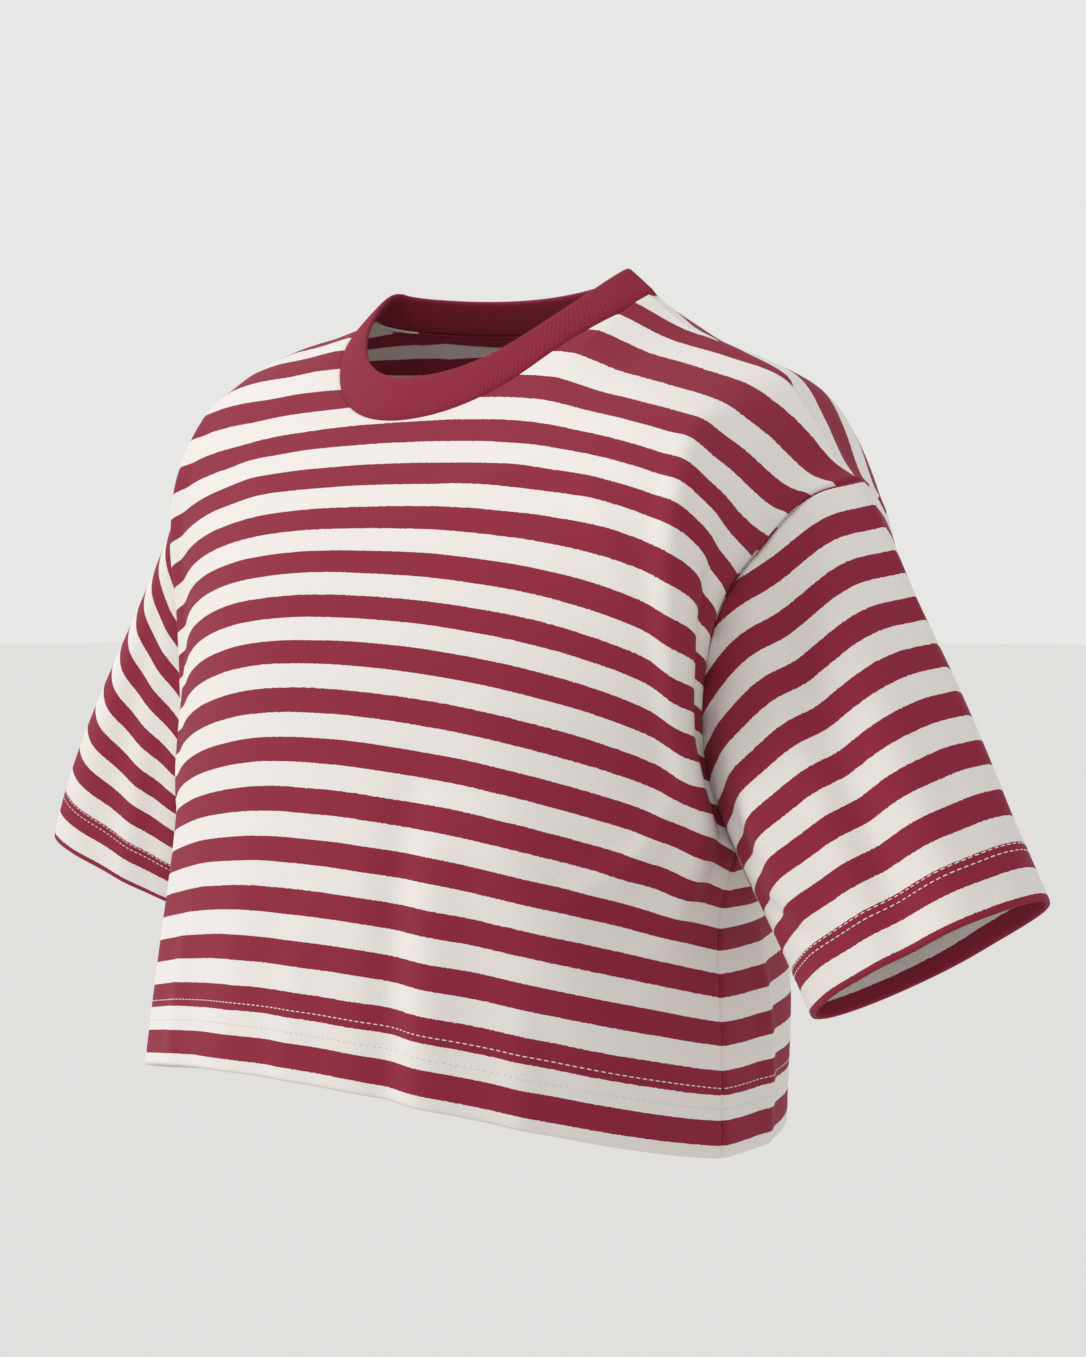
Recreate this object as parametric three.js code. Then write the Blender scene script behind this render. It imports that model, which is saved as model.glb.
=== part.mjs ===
// A cropped, boxy T-shirt in striped single jersey, worn out to its full form with nobody in it.
// Millimetres, +Z up. The front faces -Y and the wearer's left is +X.
// The origin lies midway between the two high neck points, where the shoulders carry the garment.
import * as THREE from 'three';

// Cut of the panels, flat
const CHEST_HALF = 260; // centre line to side seam
const SHOULDER_HALF = 262; // centre line to the dropped shoulder point
const NECK_HALF = 100; // centre line to the high neck point
const NECK_POINT_UP = 431; // hem to high neck point
const SHOULDER_UP = 393; // hem to shoulder point
const UNDERARM_UP = 170; // hem to underarm, the side seam's length
const FRONT_NECK_UP = 346.5; // hem to front neck at the centre
const BACK_NECK_UP = 406; // hem to back neck at the centre

// Cut of the sleeves and the collar
const RIB_WIDTH = 21;
// The rib's free edge evens out the seam's corners over steps of this share of the way round, either way
const RIB_EASE = 0.02;
const RIB_EASE_STEPS = [-2, -1, 0, 1, 2];
const NECK_DEEP = 60; // half the depth of the oval that the rib leans in from, beside NECK_HALF
const TAPE_WIDTH = 8;
const TAPE_BAND = 10; // back panel that the tape lies in, down from the neck seam

// Cloth
const JERSEY = 1.5; // wall of the jersey pieces
const RIB = 2.4; // wall of the doubled rib
const TAPE = 1.0;
const SEAM_GAP = 0.3; // pieces stand this far apart along a seam
const TAPE_GAP = 0.3;
const SAME_POINT = 0.05; // edge points closer than this are one point of a seam

// Mesh steps
const NECK_STEPS = 14; // across the neckline of one panel
const SHOULDER_STEPS = 16; // along one shoulder seam
const SIDE_STEPS = 8; // up one side seam
const ARMHOLE_STEPS = 14; // up one side of an armhole
const SLEEVE_STEPS = 13; // down a sleeve
const RIB_STEPS = 3;
const BEZIER_STEPS = 24;
const CUT_STEP = 2; // millimetres either side of a point, to find which way the cloth faces there
const SHARE_STEP = 0.01; // the same, as a share of a sleeve's length or way round

// Levels of the panels: up is the height on the flat cut, fwd and z place the centre line,
// reach is how far it runs straight out from there. edgeX, edgeY, edgeZ place the panel's edge,
// which the section meets turned back by turn and dipped by dip degrees, over a length of soft.
const FRONT_LEVELS = [
  { up: 0, fwd: 159, z: -379, reach: 102, edgeX: 186, edgeY: -46, edgeZ: -408, turn: 88, dip: 8, soft: 78 },
  { up: 60, fwd: 155, z: -321, reach: 106, edgeX: 185, edgeY: -45, edgeZ: -353, turn: 88, dip: 11, soft: 78 },
  { up: 120, fwd: 148, z: -263, reach: 108, edgeX: 184, edgeY: -46, edgeZ: -301, turn: 92, dip: 14, soft: 74 },
  { up: 170, fwd: 142, z: -215, reach: 118, edgeX: 191, edgeY: -43, edgeZ: -266, turn: 118, dip: 18, soft: 66 },
  { up: 215, fwd: 136, z: -173, reach: 130, edgeX: 190, edgeY: -63, edgeZ: -227, turn: 135, dip: 20, soft: 70 },
  { up: 260, fwd: 125, z: -134, reach: 142, edgeX: 197, edgeY: -73, edgeZ: -188, turn: 138, dip: 19, soft: 76 },
  { up: 300, fwd: 108, z: -100, reach: 150, edgeX: 207, edgeY: -72, edgeZ: -153, turn: 126, dip: 29, soft: 74 },
  { up: 340, fwd: 80, z: -66, reach: 145, edgeX: 219, edgeY: -56, edgeZ: -125, turn: 104, dip: 30, soft: 71 },
  { up: 370, fwd: 52, z: -40, reach: 122, edgeX: 229, edgeY: -33, edgeZ: -102, turn: 62, dip: 34, soft: 74 },
  { up: 393, fwd: 30, z: -18, reach: 100, edgeX: 239, edgeY: -12, edgeZ: -95, turn: 16, dip: 46, soft: 88 },
  { up: 431, fwd: 0, z: 6, reach: 92, edgeX: 250, edgeY: 22, edgeZ: -84, turn: 0, dip: 48, soft: 90 },
];
const BACK_LEVELS = [
  { up: 0, fwd: 108, z: -398, reach: 112, edgeX: 186, edgeY: -46, edgeZ: -408, turn: 88, dip: 0, soft: 78 },
  { up: 60, fwd: 108, z: -339, reach: 110, edgeX: 185, edgeY: -45, edgeZ: -353, turn: 88, dip: 0, soft: 78 },
  { up: 120, fwd: 108, z: -280, reach: 108, edgeX: 184, edgeY: -46, edgeZ: -301, turn: 86, dip: 0, soft: 74 },
  { up: 170, fwd: 110, z: -232, reach: 112, edgeX: 191, edgeY: -43, edgeZ: -266, turn: 80, dip: 6, soft: 80 },
  { up: 215, fwd: 114, z: -188, reach: 116, edgeX: 196, edgeY: -6, edgeZ: -230, turn: 66, dip: 28, soft: 62 },
  { up: 260, fwd: 116, z: -144, reach: 118, edgeX: 206, edgeY: 28, edgeZ: -192, turn: 50, dip: 44, soft: 52 },
  { up: 300, fwd: 114, z: -103, reach: 116, edgeX: 215, edgeY: 38, edgeZ: -154, turn: 38, dip: 52, soft: 55 },
  { up: 340, fwd: 104, z: -62, reach: 112, edgeX: 225, edgeY: 30, edgeZ: -122, turn: 28, dip: 54, soft: 72 },
  { up: 370, fwd: 88, z: -36, reach: 104, edgeX: 231, edgeY: 10, edgeZ: -103, turn: 16, dip: 50, soft: 85 },
  { up: 393, fwd: 70, z: -18, reach: 96, edgeX: 239, edgeY: -12, edgeZ: -95, turn: 8, dip: 48, soft: 90 },
  { up: 431, fwd: 30, z: 6, reach: 92, edgeX: 248, edgeY: -44, edgeZ: -84, turn: 0, dip: 48, soft: 90 },
];

// The wearer's right, mirrored: its edges, where it shares the left's centre line
const RIGHT_LEVELS = {
  front: [
    { up: 0, reach: 100, edgeX: 184, edgeY: -44, edgeZ: -408, turn: 88, dip: 7, soft: 78 },
    { up: 60, reach: 95, edgeX: 179, edgeY: -40, edgeZ: -353, turn: 88, dip: 7, soft: 74 },
    { up: 120, reach: 92, edgeX: 176, edgeY: -38, edgeZ: -300, turn: 88, dip: 6, soft: 70 },
    { up: 170, reach: 92, edgeX: 189, edgeY: -35, edgeZ: -264, turn: 84, dip: 12, soft: 62 },
    { up: 215, reach: 96, edgeX: 194, edgeY: -40, edgeZ: -223, turn: 70, dip: 24, soft: 52 },
    { up: 270, reach: 108, edgeX: 206, edgeY: -40, edgeZ: -171, turn: 58, dip: 32, soft: 46 },
    { up: 311, reach: 115, edgeX: 218, edgeY: -41, edgeZ: -134, turn: 54, dip: 34, soft: 46 },
    { up: 340, reach: 115, edgeX: 225, edgeY: -37, edgeZ: -106, turn: 50, dip: 36, soft: 50 },
    { up: 370, reach: 108, edgeX: 233, edgeY: -19, edgeZ: -78, turn: 36, dip: 42, soft: 66 },
    { up: 393, reach: 100, edgeX: 242, edgeY: 0, edgeZ: -69, turn: 16, dip: 46, soft: 88 },
    { up: 431, reach: 92, edgeX: 253, edgeY: 34, edgeZ: -58, turn: 0, dip: 48, soft: 90 },
  ],
  back: [
    { up: 0, reach: 112, edgeX: 184, edgeY: -44, edgeZ: -408, turn: 88, dip: 0, soft: 78 },
    { up: 60, reach: 110, edgeX: 179, edgeY: -40, edgeZ: -353, turn: 88, dip: 0, soft: 74 },
    { up: 120, reach: 108, edgeX: 176, edgeY: -38, edgeZ: -300, turn: 86, dip: 0, soft: 72 },
    { up: 170, reach: 110, edgeX: 189, edgeY: -35, edgeZ: -264, turn: 80, dip: 6, soft: 76 },
    { up: 215, reach: 116, edgeX: 196, edgeY: -1, edgeZ: -225, turn: 66, dip: 28, soft: 62 },
    { up: 270, reach: 118, edgeX: 207, edgeY: 34, edgeZ: -176, turn: 48, dip: 45, soft: 52 },
    { up: 311, reach: 116, edgeX: 218, edgeY: 40, edgeZ: -133, turn: 36, dip: 52, soft: 57 },
    { up: 340, reach: 112, edgeX: 228, edgeY: 35, edgeZ: -104, turn: 28, dip: 54, soft: 72 },
    { up: 370, reach: 104, edgeX: 235, edgeY: 19, edgeZ: -80, turn: 16, dip: 50, soft: 85 },
    { up: 393, reach: 96, edgeX: 242, edgeY: 0, edgeZ: -69, turn: 8, dip: 48, soft: 90 },
    { up: 431, reach: 92, edgeX: 251, edgeY: -32, edgeZ: -58, turn: 0, dip: 48, soft: 90 },
  ],
};

// Shoulder seams, from the high neck point out to the armhole; cut is the distance from the centre line, flat.
// The right one, mirrored too, is held higher.
const SHOULDER_SEAMS = {
  left: [
    { cut: 100, x: 100, y: 0, z: 0 },
    { cut: 130, x: 127, y: -2, z: -18 },
    { cut: 164, x: 161, y: -5, z: -32 },
    { cut: 196, x: 191, y: -8, z: -46 },
    { cut: 224, x: 210, y: -9, z: -65 },
    { cut: 250, x: 230, y: -11, z: -90 },
    { cut: 262, x: 239, y: -12, z: -95 },
  ],
  right: [
    { cut: 100, x: 100, y: 0, z: 0 },
    { cut: 130, x: 127, y: 0, z: -7 },
    { cut: 164, x: 162, y: 0, z: -13 },
    { cut: 196, x: 193, y: 0, z: -22 },
    { cut: 224, x: 216, y: 0, z: -37 },
    { cut: 250, x: 234, y: 0, z: -61 },
    { cut: 262, x: 242, y: 0, z: -69 },
  ],
};
const SHOULDER_FADE = 110; // how far down a panel the shoulder seam still shapes it
const SIDE_FADE = 60; // the same for the side seam

// Cuffs: a level oval, tipped up by lean and turned back by swing degrees. leave is how far outwards
// the sleeve sets off from its armhole.
const CUFFS = {
  left: { x: 292, y: -31, z: -309, long: 63, deep: 36, lean: 29, swing: 6, leave: 0.45 },
  right: { x: 265, y: -25, z: -310, long: 73, deep: 21, lean: 18, swing: -12, leave: 0.28 },
};

// Collar: how steeply the rib stands, by the share of the way round from the centre front
const RIB_STAND = [
  { turn: 0, rise: 68 },
  { turn: 0.12, rise: 60 },
  { turn: 0.25, rise: 45 },
  { turn: 0.38, rise: 47 },
  { turn: 0.5, rise: 46 },
];

// Folds on the cut: each runs from one point to the other, bows sideways by bow,
// stands out by height (or in, where that is less than 0) and is about twice width wide.
const PANEL_FOLDS = {
  front: [
    { fromX: 200, fromUp: 385, toX: 230, toUp: 96, bow: -5, height: 6, width: 9 },
    { fromX: 238, fromUp: 350, toX: 247, toUp: 130, bow: 0, height: -5, width: 8 },
    { fromX: 102, fromUp: 150, toX: 98, toUp: -70, bow: 0, height: 4, width: 16 },
    { fromX: 78, fromUp: 170, toX: 74, toUp: -70, bow: 0, height: -4, width: 13 },
    { fromX: 106, fromUp: 200, toX: 220, toUp: 10, bow: 8, height: 4, width: 24 },
    { fromX: 236, fromUp: 165, toX: 205, toUp: 40, bow: 0, height: 3, width: 12 },
    { fromX: -204, fromUp: 385, toX: -228, toUp: 110, bow: 6, height: 5, width: 10 },
    { fromX: -240, fromUp: 345, toX: -248, toUp: 150, bow: 0, height: -6, width: 9 },
    { fromX: -222, fromUp: 175, toX: -218, toUp: 20, bow: 0, height: -3, width: 22 },
    { fromX: -150, fromUp: 150, toX: -156, toUp: -70, bow: 0, height: 3, width: 20 },
    { fromX: -30, fromUp: 130, toX: -46, toUp: -70, bow: 0, height: 3, width: 24 },
  ],
  back: [
    { fromX: 196, fromUp: 345, toX: 236, toUp: 120, bow: -12, height: 6, width: 15 },
    { fromX: 241, fromUp: 330, toX: 250, toUp: 140, bow: 0, height: -6, width: 12 },
    { fromX: -192, fromUp: 350, toX: -238, toUp: 115, bow: 11, height: 7, width: 14 },
    { fromX: -241, fromUp: 335, toX: -250, toUp: 140, bow: 0, height: -6, width: 12 },
    { fromX: 40, fromUp: 230, toX: 62, toUp: -70, bow: 6, height: 4, width: 22 },
    { fromX: 96, fromUp: 180, toX: 92, toUp: -70, bow: 0, height: -4, width: 16 },
    { fromX: -66, fromUp: 250, toX: -40, toUp: -70, bow: -8, height: 5, width: 26 },
    { fromX: -112, fromUp: 210, toX: -120, toUp: -70, bow: 0, height: -4, width: 17 },
    { fromX: 150, fromUp: 200, toX: 196, toUp: 10, bow: 6, height: 3, width: 20 },
    { fromX: -158, fromUp: 190, toX: -206, toUp: 5, bow: 0, height: 4, width: 19 },
    { fromX: 96, fromUp: 402, toX: 264, toUp: 362, bow: 0, height: 6, width: 20 },
    { fromX: -96, fromUp: 402, toX: -264, toUp: 362, bow: 0, height: 5, width: 20 },
  ],
};

// Folds on the sleeves: around is a share of the way round from the underarm, front first,
// and down is the share of the way from the armhole to the cuff.
const SLEEVE_FOLDS = {
  left: [
    { fromAround: 0.36, fromDown: 0.05, toAround: 0.27, toDown: 1.1, height: -6, width: 0.032 },
    { fromAround: 0.43, fromDown: 0.08, toAround: 0.345, toDown: 1.1, height: 5, width: 0.038 },
    { fromAround: 0.2, fromDown: 0.1, toAround: 0.17, toDown: 1.1, height: 4, width: 0.035 },
    { fromAround: 0.12, fromDown: 0.15, toAround: 0.11, toDown: 0.8, height: -3, width: 0.03 },
    { fromAround: 0.74, fromDown: 0.1, toAround: 0.7, toDown: 1.1, height: -5, width: 0.05 },
    { fromAround: 0.62, fromDown: 0.2, toAround: 0.6, toDown: 1.1, height: 3, width: 0.04 },
  ],
  right: [
    { fromAround: 0.34, fromDown: 0.1, toAround: 0.3, toDown: 1.1, height: -3, width: 0.04 },
    { fromAround: 0.2, fromDown: 0.15, toAround: 0.18, toDown: 1.1, height: 3, width: 0.035 },
    { fromAround: 0.13, fromDown: 0.2, toAround: 0.12, toDown: 1.0, height: -3, width: 0.03 },
    { fromAround: 0.72, fromDown: 0.15, toAround: 0.76, toDown: 1.1, height: -5, width: 0.05 },
    { fromAround: 0.6, fromDown: 0.1, toAround: 0.63, toDown: 1.1, height: 3, width: 0.04 },
  ],
};
const FOLD_EDGE_FADE = 20; // folds die out this far from a side or shoulder seam
const SLEEVE_FOLD_START = 0.12; // and over this share of the sleeve below the armhole
const FOLD_SWELL = 0.7; // below 1, a fold keeps its height for longer before its ends

// How a sleeve leaves the armhole: back and down, and how its top and back differ from its underarm
const SLEEVE_START = { back: -0.05, down: 0.85, outAtTop: 0.1, outAtBack: -0.1, backAtBack: -0.5 };
const SLEEVE_BEND = 0.33; // share of its length over which it turns at either end

const UP = new THREE.Vector3(0, 0, 1);

function smoothStep(value) {
  const t = Math.min(Math.max(value, 0), 1);
  return t * t * (3 - 2 * t);
}

// A smooth curve through the rows of a table, read at one place in its key column
function readTable(rows, key, column, at) {
  const last = rows.length - 1;
  let row = 0;
  while (row < last - 1 && at >= rows[row + 1][key]) row += 1;
  const slope = (a, b) => (rows[b][column] - rows[a][column]) / (rows[b][key] - rows[a][key]);
  const tangent = (n) => {
    if (n === 0) return slope(0, 1);
    if (n === last) return slope(last - 1, last);
    const before = rows[n][key] - rows[n - 1][key];
    const after = rows[n + 1][key] - rows[n][key];
    return (after * slope(n - 1, n) + before * slope(n, n + 1)) / (before + after);
  };
  const span = rows[row + 1][key] - rows[row][key];
  const t = (at - rows[row][key]) / span;
  const s = 1 - t;
  return (1 + 2 * t) * s * s * rows[row][column] + t * s * s * span * tangent(row)
    + t * t * (3 - 2 * t) * rows[row + 1][column] - t * t * s * span * tangent(row + 1);
}

// The point a share of the length along a Bezier curve
function alongBezier(corners, share) {
  const curve = new THREE.CubicBezierCurve3(...corners);
  curve.arcLengthDivisions = BEZIER_STEPS;
  return curve.getPointAt(Math.min(Math.max(share, 0), 1));
}

function edgeAt(up) {
  const rise = THREE.MathUtils.clamp((up - UNDERARM_UP) / (SHOULDER_UP - UNDERARM_UP), 0, 1);
  return CHEST_HALF + (SHOULDER_HALF - CHEST_HALF) * rise;
}

function shoulderUp(x) {
  const share = (Math.abs(x) - NECK_HALF) / (SHOULDER_HALF - NECK_HALF);
  return NECK_POINT_UP - (NECK_POINT_UP - SHOULDER_UP) * share;
}

function neckUp(panel, x) {
  const drop = NECK_POINT_UP - (panel === 'front' ? FRONT_NECK_UP : BACK_NECK_UP);
  return NECK_POINT_UP - drop * Math.sqrt(Math.max(0, 1 - (x / NECK_HALF) ** 2));
}

function topUp(panel, x) {
  return Math.abs(x) < NECK_HALF ? neckUp(panel, x) : shoulderUp(x);
}

// A panel's own level curve, side -1 for the wearer's right, mirrored; x is measured on the cut
function levelPoint(panel, side, x, up) {
  const rows = panel === 'front' ? FRONT_LEVELS : BACK_LEVELS;
  const face = panel === 'front' ? -1 : 1;
  const edges = side < 0 ? RIGHT_LEVELS[panel] : rows;
  const at = (column) => readTable(edges, 'up', column, up);
  const middle = (column) => readTable(rows, 'up', column, up);
  const turn = THREE.MathUtils.degToRad(at('turn'));
  const dip = THREE.MathUtils.degToRad(at('dip'));
  const heading = new THREE.Vector3(
    Math.cos(dip) * Math.cos(turn), -face * Math.cos(dip) * Math.sin(turn), -Math.sin(dip));
  const centre = new THREE.Vector3(0, face * middle('fwd'), middle('z'));
  const shoulder = centre.clone().setX(at('reach'));
  const edge = new THREE.Vector3(at('edgeX'), at('edgeY'), at('edgeZ'));
  const before = edge.clone().addScaledVector(heading, -at('soft'));
  return alongBezier([centre, shoulder, before, edge], x / edgeAt(up));
}

// What draws a panel's own curve to the shoulder seam, at a place along that seam
function pullToShoulder(panel, side, seamX) {
  const rows = side < 0 ? SHOULDER_SEAMS.right : SHOULDER_SEAMS.left;
  const seam = new THREE.Vector3(...['x', 'y', 'z'].map((axis) => readTable(rows, 'cut', axis, seamX)));
  return seam.sub(levelPoint(panel, side, seamX, shoulderUp(seamX)));
}

// The panel without its folds, drawn to the shared shoulder and side seams
function smoothPoint(panel, x, up) {
  const out = Math.abs(x);
  const side = x < 0 ? -1 : 1;
  const point = levelPoint(panel, side, out, up);
  const seamX = Math.min(Math.max(out, NECK_HALF), SHOULDER_HALF);
  const seamUp = shoulderUp(seamX);
  const offCentre = Math.min(out / NECK_HALF, 1);
  const pull = pullToShoulder(panel, side, seamX);
  const pullOut = pull.x * offCentre;
  if (offCentre < 1) pull.lerp(pullToShoulder(panel, -side, seamX), 1 - smoothStep((1 + offCentre) / 2));
  pull.x = pullOut;
  point.addScaledVector(pull, smoothStep(1 - (seamUp - up) / SHOULDER_FADE));
  if (up < UNDERARM_UP) {
    const own = levelPoint(panel, side, CHEST_HALF, up);
    const other = levelPoint(panel === 'front' ? 'back' : 'front', side, CHEST_HALF, up);
    const toSide = other.sub(own).multiplyScalar(0.5);
    point.addScaledVector(toSide, smoothStep(1 - (CHEST_HALF - out) / SIDE_FADE));
  }
  point.x *= side;
  return point;
}

// How far the folds stand out at a place on the cut
function foldHeight(folds, x, up) {
  let height = 0;
  for (const fold of folds) {
    const run = new THREE.Vector2(fold.toX - fold.fromX, fold.toUp - fold.fromUp);
    const length = run.length();
    run.divideScalar(length);
    const offset = new THREE.Vector2(x - fold.fromX, up - fold.fromUp);
    const share = offset.dot(run) / length;
    if (share <= 0 || share >= 1) continue;
    const aside = offset.cross(run) - fold.bow * 4 * share * (1 - share);
    const swell = Math.sin(Math.PI * share) ** FOLD_SWELL;
    height += fold.height * swell * Math.exp(-((aside / fold.width) ** 2));
  }
  return height;
}

function panelNormal(panel, x, up) {
  const across = smoothPoint(panel, x + CUT_STEP, up).sub(smoothPoint(panel, x - CUT_STEP, up));
  const rising = smoothPoint(panel, x, up + CUT_STEP).sub(smoothPoint(panel, x, up - CUT_STEP));
  const normal = across.cross(rising).normalize();
  return panel === 'front' ? normal : normal.negate();
}

function panelPoint(panel, x, up) {
  const toShoulder = topUp(panel, x) - up;
  const toSide = CHEST_HALF - Math.abs(x);
  let calm = 1;
  if (Math.abs(x) > NECK_HALF) calm *= smoothStep(toShoulder / FOLD_EDGE_FADE);
  if (up < UNDERARM_UP) calm *= smoothStep(toSide / FOLD_EDGE_FADE);
  else calm *= smoothStep((toSide + (up - UNDERARM_UP)) / FOLD_EDGE_FADE);
  const height = calm * foldHeight(PANEL_FOLDS[panel], x, up);
  const point = smoothPoint(panel, x, up);
  if (height !== 0) point.addScaledVector(panelNormal(panel, x, up), height);
  return point;
}

// Places across a panel: sines across the neckline, even steps along the shoulders
function panelColumns() {
  const columns = [];
  for (let i = 0; i < SHOULDER_STEPS; i += 1) {
    columns.push(-SHOULDER_HALF + (SHOULDER_HALF - NECK_HALF) * (i / SHOULDER_STEPS));
  }
  for (let i = 0; i <= NECK_STEPS; i += 1) {
    columns.push(NECK_HALF * Math.sin(Math.PI * (i / NECK_STEPS - 0.5)));
  }
  for (let i = 1; i <= SHOULDER_STEPS; i += 1) {
    columns.push(NECK_HALF + (SHOULDER_HALF - NECK_HALF) * (i / SHOULDER_STEPS));
  }
  return columns;
}

// Shares of the climb from the underarm to the shoulder point, with one close below the top for the neck tape
function armholeClimbs() {
  const climbs = [];
  for (let i = 0; i < ARMHOLE_STEPS; i += 1) climbs.push(i / ARMHOLE_STEPS);
  climbs.push(1 - TAPE_BAND / (SHOULDER_UP - UNDERARM_UP), 1);
  return climbs;
}

// Heights on a panel's edge: even steps up the side seam, then up the armhole
function edgeHeights() {
  const heights = [];
  for (let i = 0; i < SIDE_STEPS; i += 1) heights.push(UNDERARM_UP * (i / SIDE_STEPS));
  for (const climb of armholeClimbs()) heights.push(UNDERARM_UP + (SHOULDER_UP - UNDERARM_UP) * climb);
  return heights;
}

// Rows of points, from the hem up, each from the wearer's right to the left
function panelGrid(panel) {
  const columns = panelColumns();
  return edgeHeights().map((height) => columns.map((column) => {
    const top = topUp(panel, column);
    const up = (height / SHOULDER_UP) * top;
    const outside = Math.max(0, Math.abs(column) - NECK_HALF) / (SHOULDER_HALF - NECK_HALF);
    const x = Math.sign(column) * outside * (edgeAt(up) - SHOULDER_HALF) + column;
    return panelPoint(panel, x, up);
  }));
}

// The armhole's edge, by the share of the way round from the underarm, front first
function armholePoint(side, around) {
  const panel = around <= 0.5 ? 'front' : 'back';
  const climb = 1 - Math.abs(1 - 2 * around);
  const up = UNDERARM_UP + (SHOULDER_UP - UNDERARM_UP) * climb;
  return panelPoint(panel, side * edgeAt(up), up);
}

function cuffFrame(side) {
  const cuff = side > 0 ? CUFFS.left : CUFFS.right;
  const lean = THREE.MathUtils.degToRad(cuff.lean);
  const swing = THREE.MathUtils.degToRad(cuff.swing);
  const outward = new THREE.Vector3(
    Math.cos(lean) * Math.cos(swing), Math.sin(swing), Math.sin(lean) * Math.cos(swing));
  const down = new THREE.Vector3(Math.sin(lean), 0, -Math.cos(lean));
  const back = outward.clone().cross(down).normalize();
  return { cuff, outward, down, back, centre: new THREE.Vector3(cuff.x, cuff.y, cuff.z) };
}

function sleevePlace(side, around, share) {
  const start = armholePoint(side, around);
  start.x *= side;
  const { cuff, outward, down, back, centre } = cuffFrame(side);
  const angle = 2 * Math.PI * around;
  const end = centre.clone()
    .addScaledVector(outward, -cuff.long * Math.cos(angle))
    .addScaledVector(back, -cuff.deep * Math.sin(angle));
  const top = Math.sin(Math.PI * around) ** 2;
  const behind = Math.max(0, -Math.sin(angle));
  const leaving = new THREE.Vector3(
    cuff.leave + SLEEVE_START.outAtTop * top + SLEEVE_START.outAtBack * behind,
    SLEEVE_START.back + SLEEVE_START.backAtBack * behind,
    -SLEEVE_START.down).normalize();
  const reach = start.distanceTo(end) * SLEEVE_BEND;
  const point = alongBezier([
    start,
    start.clone().addScaledVector(leaving, reach),
    end.clone().addScaledVector(down, -reach),
    end,
  ], share);
  point.x *= side;
  return point;
}

function sleeveFold(side, around, share) {
  let height = 0;
  for (const fold of side > 0 ? SLEEVE_FOLDS.left : SLEEVE_FOLDS.right) {
    const along = (share - fold.fromDown) / (fold.toDown - fold.fromDown);
    if (along <= 0 || along >= 1) continue;
    const middle = fold.fromAround + (fold.toAround - fold.fromAround) * along;
    const swell = Math.sin(Math.PI * along) ** FOLD_SWELL;
    height += fold.height * swell * Math.exp(-(((around - middle) / fold.width) ** 2));
  }
  return height * smoothStep(share / SLEEVE_FOLD_START);
}

function sleevePoint(side, around, share) {
  const point = sleevePlace(side, around, share);
  const height = sleeveFold(side, around, share);
  if (height === 0) return point;
  const below = Math.min(share + SHARE_STEP, 1);
  const ring = sleevePlace(side, around + SHARE_STEP, share).sub(sleevePlace(side, around - SHARE_STEP, share));
  const run = sleevePlace(side, around, below).sub(sleevePlace(side, around, below - 2 * SHARE_STEP));
  const normal = run.cross(ring).normalize().multiplyScalar(side);
  return point.addScaledVector(normal, height);
}

// Rows of points from the armhole down, each once round the sleeve
function sleeveGrid(side) {
  const front = armholeClimbs().map((climb) => climb / 2);
  const back = front.slice(1, -1).reverse().map((around) => 1 - around);
  const rows = [];
  for (let down = 0; down <= SLEEVE_STEPS; down += 1) {
    const share = down / SLEEVE_STEPS;
    rows.push([...front, ...back].map((around) => (
      down === 0 ? armholePoint(side, around) : sleevePoint(side, around, share))));
  }
  return rows;
}

// The neck seam, by the share of the way round from the centre front to the wearer's left
function neckPoint(turn) {
  const x = NECK_HALF * Math.sin(2 * Math.PI * turn);
  const panel = Math.cos(2 * Math.PI * turn) >= 0 ? 'front' : 'back';
  return panelPoint(panel, x, neckUp(panel, x));
}

function collarGrid() {
  const around = 2 * NECK_STEPS;
  const rows = [];
  for (let rise = 0; rise <= RIB_STEPS; rise += 1) {
    const row = [];
    for (let i = 0; i < around; i += 1) {
      const turn = i / around;
      const seam = neckPoint(turn);
      const angle = 2 * Math.PI * turn;
      const inward = new THREE.Vector3(-NECK_DEEP * Math.sin(angle), NECK_HALF * Math.cos(angle), 0).normalize();
      const stand = THREE.MathUtils.degToRad(readTable(RIB_STAND, 'turn', 'rise', 0.5 - Math.abs(0.5 - turn)));
      const width = RIB_WIDTH * (rise / RIB_STEPS);
      const eased = new THREE.Vector3();
      RIB_EASE_STEPS.forEach((step) => {
        eased.addScaledVector(neckPoint(turn + step * RIB_EASE), 1 / RIB_EASE_STEPS.length);
      });
      seam.lerp(eased, rise / RIB_STEPS);
      seam.addScaledVector(inward, width * Math.cos(stand)).addScaledVector(UP, width * Math.sin(stand));
      row.push(seam);
    }
    rows.push(row);
  }
  return rows;
}

// The strip that covers the back neck seam: the back panel's own points below the neck, moved inward
function tapeGrid(back) {
  const inset = JERSEY / 2 + TAPE_GAP + TAPE / 2;
  const [below, seam] = back.grid.slice(-2);
  const [belowNormals, seamNormals] = back.normals.slice(-2);
  const first = SHOULDER_STEPS + 1;
  const last = SHOULDER_STEPS + NECK_STEPS - 1;
  return [0, TAPE_WIDTH / TAPE_BAND].map((share) => below.slice(first, last + 1).map((point, n) => {
    const inside = belowNormals[first + n].clone().lerp(seamNormals[first + n], share);
    return point.clone().lerp(seam[first + n], share).addScaledVector(inside, -inset);
  }));
}

// One cloth piece: its grid of middle points, whether its rows close on themselves,
// whether the grid's own normals point inside the garment, and its wall
function clothPiece(name, grid, { closed = false, flip = false, wall, colour, roughness }) {
  return { name, grid, closed, flip, wall, colour, roughness };
}

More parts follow.
